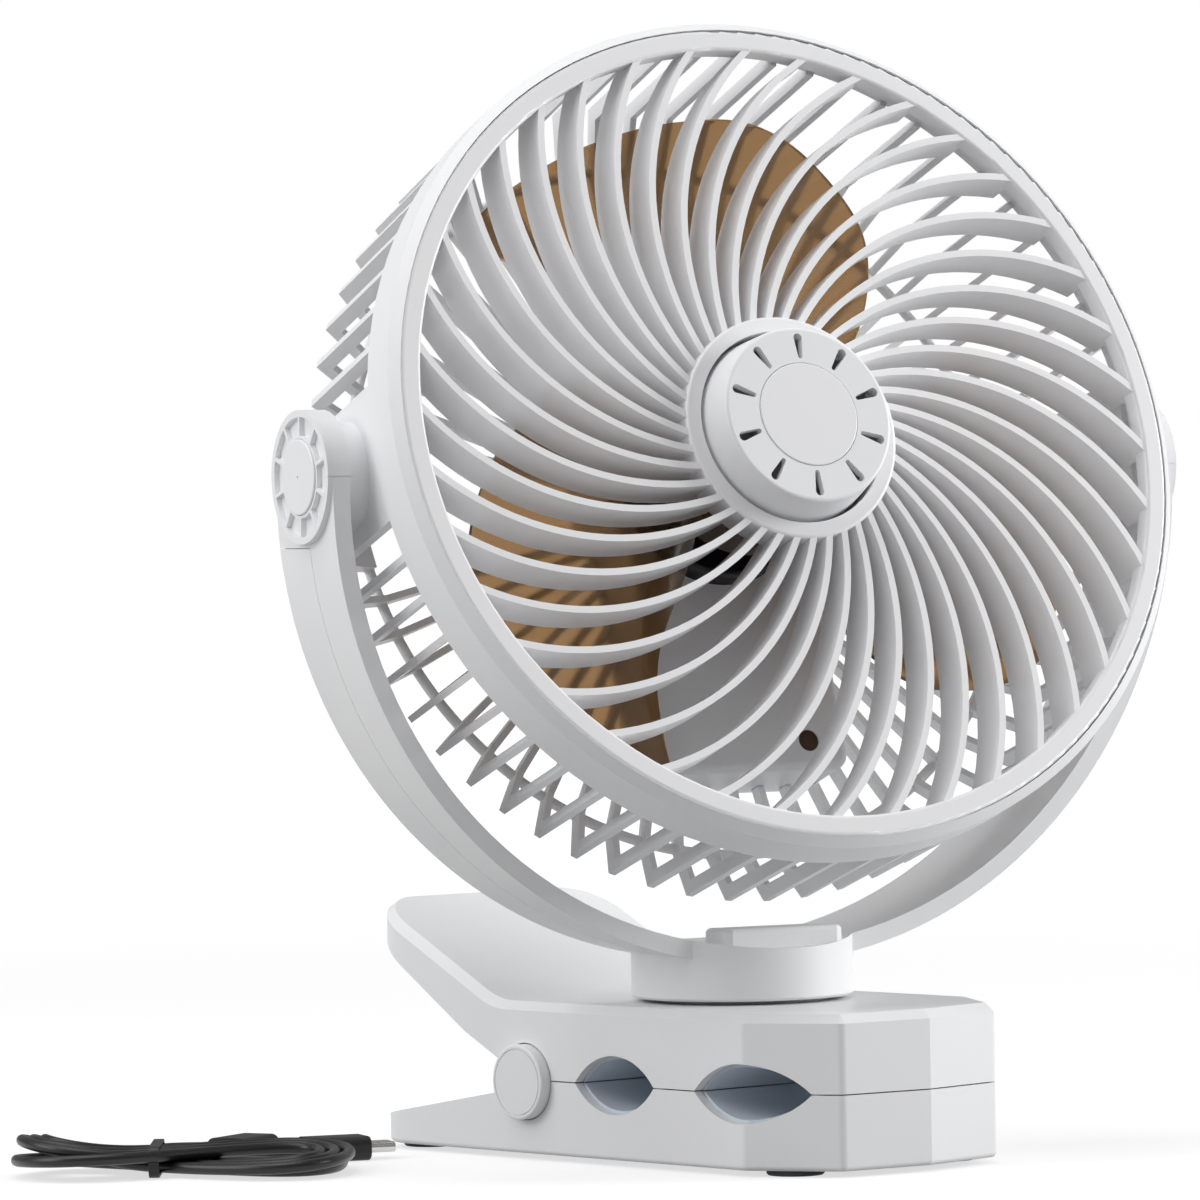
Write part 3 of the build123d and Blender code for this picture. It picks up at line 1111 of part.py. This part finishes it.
AXIS_Z = PLUG_H / 2
for number, (end_x, end_y, heading, start_heading, run) in enumerate(LEADS, 1):
    end = Vector(end_x, end_y, AXIS_Z)
    bend = end - run * Vector(*polar(1, heading))
    start = bend - run * Vector(*polar(1, start_heading))
    turn = math.radians(abs(heading - start_heading))
    bend_r = LEAD_ROUND * run / math.tan(turn / 2)
    with BuildPart() as lead:
        with BuildLine() as route:
            FilletPolyline(start, bend, end, radius=bend_r)
        with BuildSketch(Plane(start, z_dir=bend - start)):
            Circle(CABLE_R)
        sweep()
    lead_l = sum(edge.length for edge in route.line.edges())
    print(f"cable lead {number}: bend radius {bend_r:.1f} mm, length {lead_l:.1f} mm,"
          f" volume over section {lead.part.volume / (math.pi * CABLE_R ** 2):.1f} mm")
    finish(lead, f"cable_lead_{number}", CABLE_PLACE)

    plug_place = CABLE_PLACE * Location(end) * Location((0, 0, 0), (0, 0, heading))
    with BuildPart() as plug:
        with BuildSketch(Plane.YZ):
            Circle(RELIEF_TIP_R)
        with BuildSketch(Plane.YZ.offset(RELIEF_L)):
            Circle(RELIEF_R)
        loft()
        with BuildSketch(Plane.YZ.offset(RELIEF_L)):
            RectangleRounded(PLUG_W, PLUG_H, PLUG_EDGE_R)
        extrude(amount=PLUG_L)
        fillet(plug.faces().sort_by(Axis.X)[-1].edges(), EDGE_SMALL)
    finish(plug, f"plug_overmold_{number}", plug_place)

    with BuildPart() as shell:
        with BuildSketch(Plane.YZ.offset(RELIEF_L + PLUG_L)):
            SlotOverall(SHELL_W, SHELL_H)
        extrude(amount=SHELL_L)
        with BuildSketch(Plane.YZ.offset(RELIEF_L + PLUG_L + SHELL_L)):
            SlotOverall(SHELL_W - 2 * SHELL_WALL, SHELL_H - 2 * SHELL_WALL)
        extrude(amount=-SHELL_L + OVER, mode=Mode.SUBTRACT)
    finish(shell, f"plug_shell_{number}", plug_place)

print(len(pieces), "pieces")
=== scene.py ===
import math

import bmesh
import bpy
from mathutils import Matrix, Vector


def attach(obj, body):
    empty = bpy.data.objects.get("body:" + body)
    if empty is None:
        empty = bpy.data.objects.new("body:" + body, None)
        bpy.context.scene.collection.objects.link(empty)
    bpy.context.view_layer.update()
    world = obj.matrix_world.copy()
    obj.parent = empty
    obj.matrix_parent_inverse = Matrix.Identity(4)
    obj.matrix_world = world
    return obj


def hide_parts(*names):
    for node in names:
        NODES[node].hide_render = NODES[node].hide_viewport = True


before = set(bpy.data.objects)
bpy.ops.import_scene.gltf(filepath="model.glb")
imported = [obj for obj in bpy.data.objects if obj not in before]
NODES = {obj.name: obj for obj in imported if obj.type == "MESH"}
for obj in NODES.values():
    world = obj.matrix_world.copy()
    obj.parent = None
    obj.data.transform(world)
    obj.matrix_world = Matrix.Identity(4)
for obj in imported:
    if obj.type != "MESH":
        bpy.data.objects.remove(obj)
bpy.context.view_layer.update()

# ---------------------------------------------------------------- sizes
MM = 0.001

# The charging cable, in millimetres. Its own frame has X along the hank and Y across it, on the floor.
CABLE_ORIGIN = (-116.0, 76.0)
CABLE_TURN = -41.4      # degrees from the row's X
CABLE_R = 1.45
TURNS = 6

# Strands of each turn where the tie holds them: first place across the tie, step from turn to turn, height
BACK_STRANDS = (11.7, -3.55, 2.4)
FRONT_STRANDS = (-13.5, 3.57, 5.5)

# Loops on the two sides of the tie. Reach and half width change by a step from turn to turn. The arches are
# those of even and odd turns, so that every other turn lies on its neighbours.
LEFT_LOOPS = {"side": -1, "reach": (40.8, -1.4), "half": (11.7, -0.6), "shift": -0.3, "arches": (0.1, 5.1)}
RIGHT_LOOPS = {"side": 1, "reach": (33.8, 1.8), "half": (13.7, 1.7), "shift": -3.1, "arches": (0.8, -1.5)}
LOOP_STEP = 15          # degrees of a loop between two control points

# The short leads between the hank and the two plugs
LEAD_1 = [(6.0, 24.0, 3.0), (3.9, 16.8, 2.2), (-4.8, 11.0, 1.8)]
LEAD_2 = [(-6.4, 14.5, 5.0), (5.9, 15.8, 5.0), (12.5, 22.5, 3.8), (22.0, 25.5, 3.0)]

# The band of the tie
TIE_X = -6.5
TIE_HALF_L = 12.3
TIE_LOW = 0.85
TIE_TOP = 7.0
TIE_W = 2.6
TIE_WALL = 0.8
TIE_R = 2.0
TIE_STEPS = 32          # points round its outline

# The studio, in metres
FLOOR_HALF = 14.0
GLOW_NEAR = (0.5, 0.66)  # distance from the middle of the floor and the sheet's own tone there
GLOW_FAR = (2.0, 0.98)
SKY_LIGHT = 0.31
HEART = Vector((0.0, 0.0, 0.13))  # what the softboxes point at
# softboxes: name, place round the object, side in metres, power in watts
SOFTBOXES = (
    ("overhead", (-0.3, 0.1, 1.3), 1.1, 8.2),
    ("right_key", (1.05, -0.84, 0.5), 0.7, 15.6),
    ("left_fill", (-1.15, 0.5, 0.7), 0.9, 8.8),
)
# the camera: its place, the way it looks and its roll about that
EYE = Vector((-1.2464, -1.3607, 0.1610))
AIM = Vector((0.662, 0.7495, -0.0126)).normalized()
ROLL = math.radians(1.01)


# ---------------------------------------------------------------- colours and shader nodes
WHITE = (1.0, 1.0, 1.0, 1.0)
FLOW_MM = 38            # how wide the slow changes in a moulded skin are
MIX_A, MIX_B, MIXED = 6, 7, 2   # the colour sockets of a mix node: two inputs and the output


def linear(hex_colour):
    """The linear colour of an sRGB hex value such as "#f0efec"."""
    parts = [int(hex_colour[i:i + 2], 16) / 255 for i in (1, 3, 5)]
    return tuple(c / 12.92 if c <= 0.04045 else ((c + 0.055) / 1.055) ** 2.4 for c in parts) + (1.0,)


def add_node(tree, kind, links=None, **settings):
    """A shader node with its settings and its input links. A key that names an input, with _ for a space,
    sets that input's value."""
    node = tree.nodes.new(kind)
    for key, value in settings.items():
        socket = key.replace("_", " ")
        if socket in node.inputs:
            node.inputs[socket].default_value = value
        else:
            setattr(node, key, value)
    for name, source in (links or {}).items():
        tree.links.new(source, node.inputs[name])
    return node


def new_material(name):
    made = bpy.data.materials.new(name)
    made.use_nodes = True
    made.node_tree.nodes.clear()
    return made, made.node_tree


def surface(tree, shader, volume=None):
    links = {"Surface": shader.outputs[0]}
    if volume:
        links["Volume"] = volume.outputs[0]
    add_node(tree, "ShaderNodeOutputMaterial", links)


def noise(tree, size_mm, stretch=None, **settings):
    """Noise fixed to the piece, with features of about size_mm. stretch squeezes it along the axes."""
    place = add_node(tree, "ShaderNodeTexCoord").outputs["Object"]
    if stretch:
        place = add_node(tree, "ShaderNodeMapping", {"Vector": place}, Scale=stretch).outputs["Vector"]
    return add_node(tree, "ShaderNodeTexNoise", {"Vector": place}, Scale=1 / (size_mm * MM), **settings)


def relief(tree, height, strength, depth):
    """The normal of a skin whose height follows a noise, by up to depth in metres."""
    bump = add_node(tree, "ShaderNodeBump", {"Height": height.outputs["Fac"]},
                    Strength=strength, Distance=depth)
    return bump.outputs["Normal"]


def moulded(name, colour, shade, rough, rough_range, grain_mm, relief_mm):
    """Injection-moulded plastic or rubber. The tool's spark-eroded skin leaves a fine even grain,
    which is drawn here a little coarser than it is, and the flow of the melt leaves
    slow changes of tint and gloss some centimetres wide."""
    made, tree = new_material(name)
    grain = noise(tree, grain_mm, Detail=3.0, Roughness=0.55)
    flow = noise(tree, FLOW_MM, Detail=2.0).outputs["Fac"]
    tint = add_node(tree, "ShaderNodeMix", {"Factor": flow}, data_type="RGBA")
    tint.inputs[MIX_A].default_value = linear(colour)
    tint.inputs[MIX_B].default_value = linear(shade)
    gloss = add_node(tree, "ShaderNodeMapRange", {"Value": flow}, From_Min=0.3, From_Max=0.7,
                     To_Min=rough - rough_range, To_Max=rough + rough_range)
    surface(tree, add_node(tree, "ShaderNodeBsdfPrincipled", {
        "Base Color": tint.outputs[MIXED],
        "Roughness": gloss.outputs["Result"],
        "Normal": relief(tree, grain, strength=0.35, depth=relief_mm * MM),
    }))
    return made


def metal(name, colour, rough, grain_mm, stretch, relief_mm):
    """Bare or plated metal with the fine lines that turning, drawing or pressing leave."""
    made, tree = new_material(name)
    grain = noise(tree, grain_mm, stretch, Detail=4.0)
    gloss = add_node(tree, "ShaderNodeMapRange", {"Value": grain.outputs["Fac"]},
                     To_Min=rough * 0.7, To_Max=rough * 1.3)
    surface(tree, add_node(tree, "ShaderNodeBsdfPrincipled", {
        "Roughness": gloss.outputs["Result"],
        "Normal": relief(tree, grain, strength=0.3, depth=relief_mm * MM),
    }, Metallic=1.0, Base_Color=linear(colour)))
    return made


def clear(name, colour, rough, index, passing, wave, strength, depth_mm, dye=None):
    """Clear plastic with a slight wave or frost in its skin, given as the size and detail of a noise.
    A dye, given as a colour and a density, takes up light on its way through."""
    made, tree = new_material(name)
    skin = relief(tree, noise(tree, wave[0], Detail=wave[1]), strength, depth_mm * MM)
    body = add_node(tree, "ShaderNodeBsdfPrincipled", {"Normal": skin}, Roughness=rough, IOR=index,
                    Base_Color=linear(colour), Transmission_Weight=passing)
    deep = None
    if dye:
        deep = add_node(tree, "ShaderNodeVolumeAbsorption", Color=linear(dye[0]), Density=dye[1])
    surface(tree, body, deep)
    return made


def ray_mask(tree, *kinds):
    """1 for rays of the kinds named, 0 for all others."""
    path = add_node(tree, "ShaderNodeLightPath")
    mask = path.outputs[kinds[0]]
    for kind in kinds[1:]:
        either = add_node(tree, "ShaderNodeMath", {0: mask, 1: path.outputs[kind]}, operation="MAXIMUM")
        mask = either.outputs[0]
    return mask


def choose(tree, mask, when_0, when_1):
    """The first shader where the mask is 0, the second where it is 1."""
    return add_node(tree, "ShaderNodeMixShader", {0: mask, 1: when_0.outputs[0], 2: when_1.outputs[0]})


def placed(name, data):
    """An object with this data, in the scene."""
    made = bpy.data.objects.new(name, data)
    bpy.context.scene.collection.objects.link(made)
    return made


# ---------------------------------------------------------------- finishes
# moulded: name, two tints, roughness and its range, grain and depth of the skin in mm

# ABS: hard, opaque, a satin skin with soft highlights
white_abs = moulded("white_abs_satin", "#f1f1f2", "#edeef0", 0.40, 0.04, 0.45, 0.010)
# the same ABS in the grille, from a more polished tool
grille_abs = moulded("white_abs_polished", "#f3f3f4", "#f0f0f2", 0.33, 0.04, 0.45, 0.006)
# hub cap: the same ABS with a finer, slightly duller skin
hub_abs = moulded("white_abs_fine_satin", "#f0f0f2", "#ecedef", 0.42, 0.03, 0.35, 0.010)
# inner parts are moulded in natural ABS and never polished
natural_abs = moulded("natural_abs_as_moulded", "#dcdcda", "#d4d4d1", 0.52, 0.05, 0.6, 0.02)
# the motor's housing: light grey ABS, eroded skin
grey_abs = moulded("light_grey_abs", "#ececee", "#e6e7e9", 0.45, 0.04, 0.5, 0.012)
# jaw pads and feet: thermoplastic rubber, matt, with a soft dusty sheen
pad_rubber = moulded("blue_grey_tpr", "#d4dce5", "#cdd6e0", 0.62, 0.05, 0.5, 0.015)
foot_rubber = moulded("dark_grey_rubber", "#55575a", "#4e5053", 0.72, 0.05, 0.5, 0.02)
# the button is soft-touch grey ABS
button_abs = moulded("grey_abs_button", "#8f9195", "#898b90", 0.48, 0.03, 0.35, 0.010)
# cable jacket: black TPE, extruded, satin; overmoulds: black TPE from an eroded tool
jacket_tpe = moulded("black_tpe_extruded", "#1d1d1e", "#19191a", 0.34, 0.05, 0.8, 0.010)
plug_tpe = moulded("black_tpe_moulded", "#212122", "#1c1c1d", 0.46, 0.05, 0.35, 0.015)
# cell wrap: heat-shrunk PVC film over the battery
cell_film = moulded("shrunk_pvc_film", "#5b7fae", "#54779f", 0.28, 0.06, 2.5, 0.06)
# varnished stator core with copper windings seen together
stator_core = moulded("varnished_copper_winding", "#8a5533", "#6d4127", 0.35, 0.10, 0.4, 0.05)
# FR4 board under green solder mask
board_fr4 = moulded("green_solder_mask", "#1f6b40", "#1b6039", 0.30, 0.05, 1.2, 0.01)
# disc on the hub: in-mould film, smooth and a little glossier than the cap round it
badge_film = moulded("pearl_film_disc", "#f4f4f6", "#f1f1f4", 0.24, 0.02, 1.0, 0.002)
# painted steel can of the motor
motor_paint = moulded("black_stove_enamel", "#101012", "#0d0d0f", 0.38, 0.05, 0.7, 0.01)

# metal: name, tint, roughness, grain in mm, its stretch along the axes, depth of the skin in mm

# zinc-plated steel of pins, screws and nut
zinc_steel = metal("zinc_plated_steel", "#c5c8cc", 0.28, 0.5, (1.0, 1.0, 1.0), 0.01)
# the spring: drawn wire, bright
drawn_steel = metal("drawn_spring_steel", "#b4b5b8", 0.22, 0.3, (1.0, 6.0, 6.0), 0.008)
# the housing's screw: dark brownish steel, whose dark tint is partly the metal's own colour and partly
# painted shade of the screw's recess
dark_steel = metal("dark_steel_painted_recess_shade", "#5f5048", 0.40, 0.4, (1.0, 1.0, 1.0), 0.01)
# connector shells: pressed steel, nickel plated, fine lines along the shell
nickel_steel = metal("nickel_plated_steel", "#d5d4d2", 0.20, 0.2, (1.0, 1.0, 8.0), 0.004)

# clear: name, tint, roughness, index of refraction, share of light let through, size in mm and detail of the
# skin's wave, its strength and its depth in mm

# blades of clear SAN tinted amber: the 1.6 mm sheet is brown-gold where it is seen through
# and nearly black along its rims
amber_san = clear("amber_san_transparent", "#b3956a", 0.10, 1.56, 0.92, (16, 1.0), 0.2, 0.1,
                  dye=("#b98a55", 420.0))
# light guide of clear acrylic with a frosted end
acrylic = clear("frosted_clear_acrylic", "#eef3ee", 0.35, 1.49, 0.8, (0.3, 2.0), 0.3, 0.02)

FINISHES = {
    white_abs: ["lower_shell", "upper_shell", "lower_grip_cover", "upper_grip_cover", "hinge_cap_left",
                "hinge_cap_right", "yoke", "arm_cover_left", "arm_cover_right", "pivot_cap_left",
                "pivot_cap_right", "swivel_cap", "rear_shell"],
    grille_abs: ["front_grille"],
    hub_abs: ["hub_cap"],
    badge_film: ["hub_badge"],
    natural_abs: ["lower_jaw_plate", "upper_jaw_plate"],
    grey_abs: ["motor_housing"],
    pad_rubber: ["lower_rubber_pad", "upper_rubber_pad"],
    foot_rubber: ["rubber_feet"],
    button_abs: ["power_button"],
    amber_san: ["impeller"],
    acrylic: ["led_lens"],
    motor_paint: ["motor_can"],
    stator_core: ["motor_stator"],
    board_fr4: ["control_board"],
    cell_film: ["battery_pack"],
    zinc_steel: ["base_screws", "hinge_pin", "swivel_retainer", "swivel_screws", "pivot_screw_left",
                 "pivot_screw_right", "rotor_shaft", "rotor_nut"],
    dark_steel: ["housing_screw"],
    drawn_steel: ["torsion_spring"],
    nickel_steel: ["usb_socket", "plug_shell_1", "plug_shell_2"],
    plug_tpe: ["plug_overmold_1", "plug_overmold_2"],
    jacket_tpe: ["cable_hank", "cable_tie", "cable_lead_1", "cable_lead_2"],
}
for finish, names in FINISHES.items():
    for name in names:
        NODES[name].data.materials.clear()
        NODES[name].data.materials.append(finish)


# ---------------------------------------------------------------- charging cable
def from_cable(x, y, z):
    """A point of the cable's own frame, placed in the row frame in metres."""
    turn = math.radians(CABLE_TURN)
    return Vector((CABLE_ORIGIN[0] + x * math.cos(turn) - y * math.sin(turn),
                   CABLE_ORIGIN[1] + x * math.sin(turn) + y * math.cos(turn), z)) * MM


def strand(strands, turn):
    """Where a turn's strand passes the tie: its place across the tie and its height."""
    first, step, height = strands
    return first + step * turn, height


def loop(turn, start, end, side, reach, half, shift, arches):
    """Control points of a turn's loop on one side: out from the tie along one strand, and back to it
    along another. start and end are the strands' places across the tie and their heights."""
    far = reach[0] + reach[1] * turn
    wide = half[0] + half[1] * turn
    points = []
    for degrees in range(LOOP_STEP, 181, LOOP_STEP):
        f = math.radians(degrees)
        out, way = math.sin(f), (1 - math.cos(f)) / 2
        held = start[0] if degrees < 90 else end[0]
        y = math.cos(f) ** 2 * held + wide * math.sin(2 * f) + shift * out ** 2
        z = start[1] + way * (end[1] - start[1]) + arches[turn % 2] * out ** 2
        points.append((TIE_X + side * (far - side * TIE_X) * out, y, z))
    return points


# a short lead from the first plug, the folded turns, and a short lead to the second plug
route = list(LEAD_1)
for turn in range(TURNS):
    back, front = strand(BACK_STRANDS, turn), strand(FRONT_STRANDS, turn)
    route += loop(turn, back, front, **LEFT_LOOPS)
    if turn < TURNS - 1:
        route += loop(turn, front, strand(BACK_STRANDS, turn + 1), **RIGHT_LOOPS)
route += LEAD_2

line = bpy.data.curves.new("charging_cable", "CURVE")
line.dimensions = "3D"
line.bevel_depth = CABLE_R * MM
line.bevel_resolution = 4
line.resolution_u = 5
line.use_fill_caps = True
spline = line.splines.new("NURBS")
spline.points.add(len(route) - 1)
for point, place in zip(spline.points, route):
    point.co = (*from_cable(*place), 1.0)
spline.order_u = 3
spline.use_endpoint_u = True
line.materials.append(jacket_tpe)
cable = placed("charging_cable", line)


def band(name, half_l, low, high, corner, wall, width, place_x):
    """A closed flat band round the strands, lying across the cable's frame."""
    form = bmesh.new()
    middle, half_h = (low + high) / 2, (high - low) / 2
    rings = []
    for grow in (0.0, wall):
        outline = []
        for step in range(TIE_STEPS):
            a = math.tau * step / TIE_STEPS
            sx, sz = math.copysign(1, math.cos(a)), math.copysign(1, math.sin(a))
            outline.append((sx * (half_l - corner) + (corner + grow) * math.cos(a),
                            middle + sz * (half_h - corner) + (corner + grow) * math.sin(a)))
        for dx in (-width / 2, width / 2):
            rings.append([form.verts.new(from_cable(place_x + dx, y, z)) for y, z in outline])
    for a, b in ((0, 1), (1, 3), (3, 2), (2, 0)):
        for k in range(TIE_STEPS):
            n = (k + 1) % TIE_STEPS
            form.faces.new((rings[a][k], rings[a][n], rings[b][n], rings[b][k]))
    bmesh.ops.recalc_face_normals(form, faces=form.faces)
    mesh = bpy.data.meshes.new(name)
    form.to_mesh(mesh)
    form.free()
    piece = placed(name, mesh)
    soft = piece.modifiers.new("rounded_edges", "BEVEL")
    soft.width = wall * MM / 4
    soft.segments = 2
    soft.limit_method = "ANGLE"
    return piece


tie = band("tie_band", TIE_HALF_L, TIE_LOW, TIE_TOP, TIE_R, TIE_WALL, TIE_W, TIE_X)
tie.data.materials.append(plug_tpe)

for piece, nodes in ((cable, ("cable_hank", "cable_lead_1", "cable_lead_2")), (tie, ("cable_tie",))):
    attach(piece, "lower_jaw")
    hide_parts(*nodes)

# ---------------------------------------------------------------- floor, backdrop and light
white_sweep, tree = new_material("white_paper_sweep")
fibre = add_node(tree, "ShaderNodeTexNoise", Scale=400.0, Detail=3.0)
paper = add_node(tree, "ShaderNodeBsdfPrincipled", {
    "Normal": relief(tree, fibre, strength=0.1, depth=0.1 * MM),
}, Roughness=0.95, Base_Color=linear("#a0a0a0"))
# the sheet is evenly lit behind the object, and less so near it, where the softboxes light it
spot = add_node(tree, "ShaderNodeTexCoord")
far = add_node(tree, "ShaderNodeVectorMath", {0: spot.outputs["Object"]}, operation="LENGTH")
spread = add_node(tree, "ShaderNodeMapRange", {"Value": far.outputs["Value"]},
                  interpolation_type="SMOOTHSTEP",
                  From_Min=GLOW_NEAR[0], From_Max=GLOW_FAR[0], To_Min=GLOW_NEAR[1], To_Max=GLOW_FAR[1])
glow = add_node(tree, "ShaderNodeEmission", {"Strength": spread.outputs["Result"]})
none = add_node(tree, "ShaderNodeEmission", Strength=0.0)
lift = choose(tree, ray_mask(tree, "Is Camera Ray", "Is Glossy Ray", "Is Transmission Ray"), none, glow)
surface(tree, add_node(tree, "ShaderNodeAddShader", {0: paper.outputs[0], 1: lift.outputs[0]}))

sheet = bmesh.new()
sheet.faces.new([sheet.verts.new((x * FLOOR_HALF, y * FLOOR_HALF, 0))
                 for x, y in ((-1, -1), (1, -1), (1, 1), (-1, 1))])
floor_mesh = bpy.data.meshes.new("floor")
sheet.to_mesh(floor_mesh)
sheet.free()
floor = placed("floor", floor_mesh)
floor.data.materials.append(white_sweep)

world = bpy.data.worlds.new("studio")
bpy.context.scene.world = world
world.use_nodes = True
sky = world.node_tree
sky.nodes.clear()
plain = add_node(sky, "ShaderNodeBackground", Strength=SKY_LIGHT, Color=WHITE)
bright = add_node(sky, "ShaderNodeBackground", Strength=1.0, Color=WHITE)
blend = choose(sky, ray_mask(sky, "Is Camera Ray", "Is Transmission Ray"), plain, bright)
add_node(sky, "ShaderNodeOutputWorld", {"Surface": blend.outputs[0]})

for name, place, side, power in SOFTBOXES:
    lamp = bpy.data.lights.new(name, "AREA")
    lamp.size = side
    lamp.energy = power
    box = placed(name, lamp)
    box.location = Vector(place)
    box.rotation_euler = (HEART - Vector(place)).to_track_quat("-Z", "Y").to_euler()

# ---------------------------------------------------------------- camera
lens = bpy.data.cameras.new("camera")
lens.sensor_width = 36.0
lens.lens = 225.0
lens.clip_start = 0.1
lens.clip_end = 50.0
camera = placed("camera", lens)
level_right = AIM.cross(Vector((0, 0, 1))).normalized()
level_up = level_right.cross(AIM)
right = level_right * math.cos(ROLL) - level_up * math.sin(ROLL)
up = level_right * math.sin(ROLL) + level_up * math.cos(ROLL)
camera.matrix_world = Matrix.Translation(EYE) @ Matrix((right, up, -AIM)).transposed().to_4x4()
bpy.context.scene.camera = camera

bpy.context.scene.view_settings.view_transform = "Standard"
